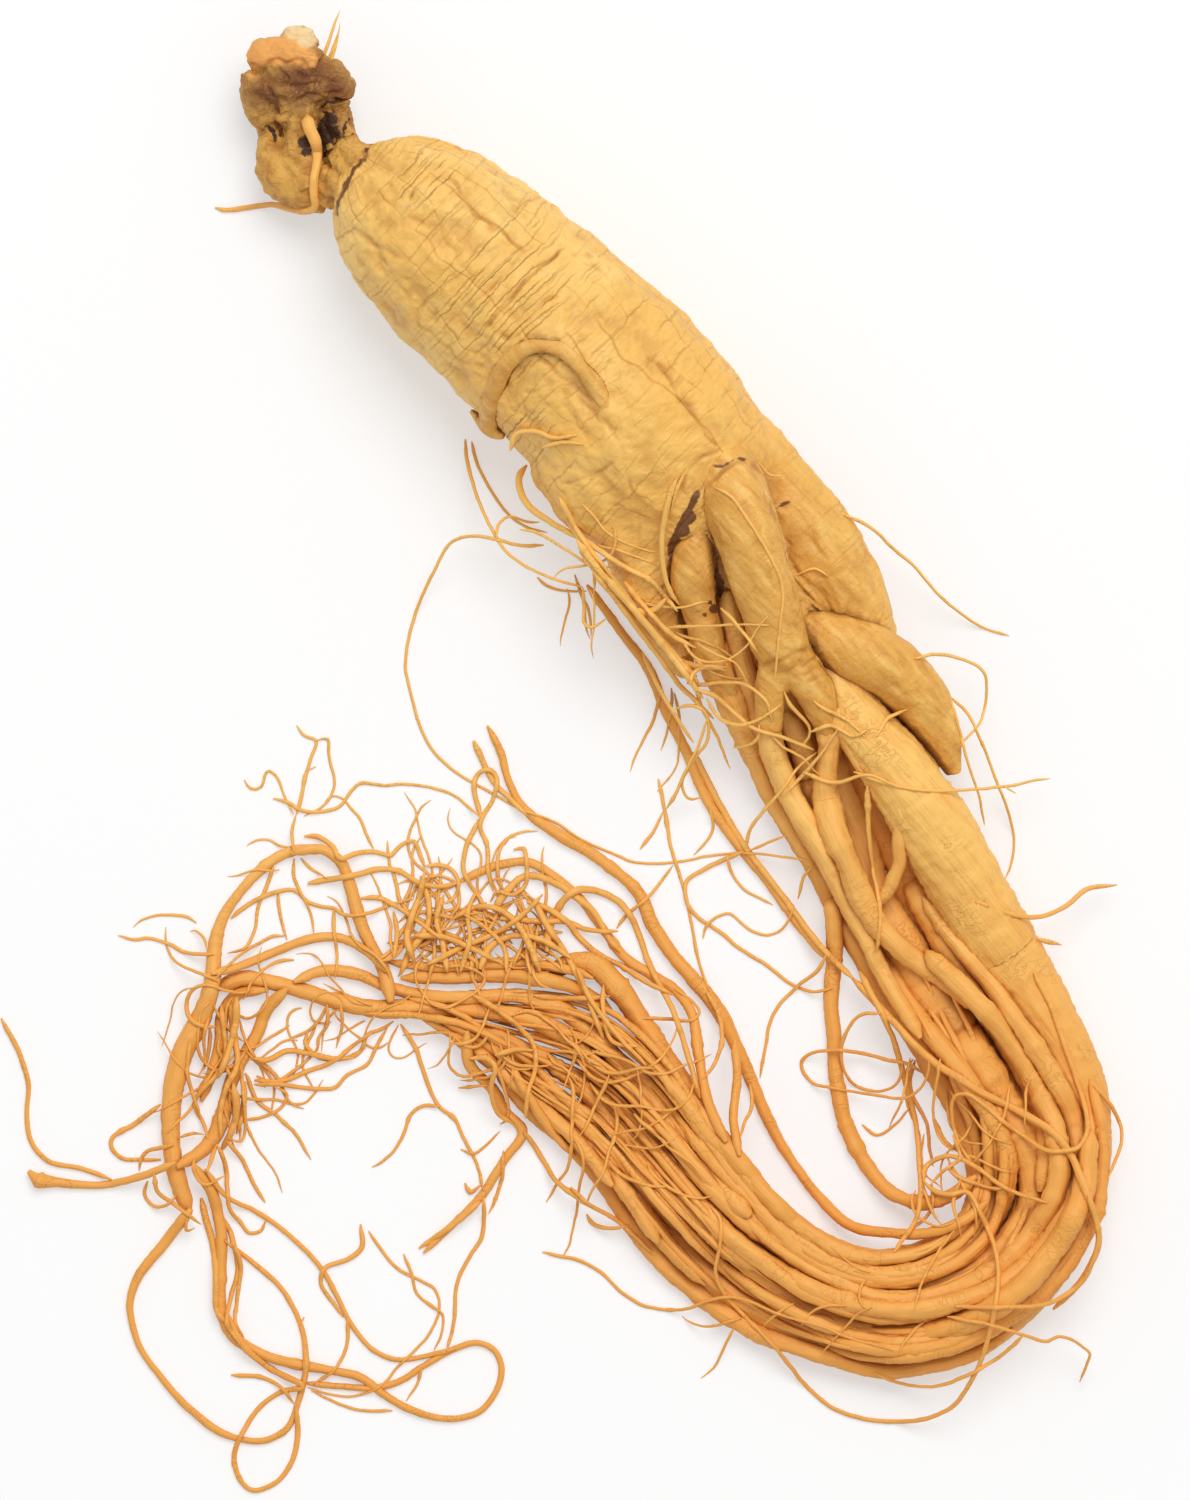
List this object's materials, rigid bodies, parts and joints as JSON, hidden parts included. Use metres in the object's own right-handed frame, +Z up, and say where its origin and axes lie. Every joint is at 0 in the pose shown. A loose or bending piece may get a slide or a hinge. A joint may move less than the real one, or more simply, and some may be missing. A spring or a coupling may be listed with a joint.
{
  "type": "ginseng root",
  "caption": "Fresh ginseng root lying down: stout body with a gnarled neck, forked legs and a long curved tail of strands and rootlets.",
  "frame": {"origin": "centre of the ground that the lying root covers, on the surface it rests on", "axes": "+Z up from the surface, +Y towards the neck at the top of the J, +X towards the outside of the bend"},
  "size_m": [0.1681, 0.2228, 0.0327],
  "materials": {
    "root_skin": "golden tan root skin, matt to faintly waxy, with fine rings, lengthwise wrinkles and orange-brown creases; brown and rough at the neck"
  },
  "bodies": {
    "root": {"ginseng_root": "root_skin"}
  },
  "joints": []
}
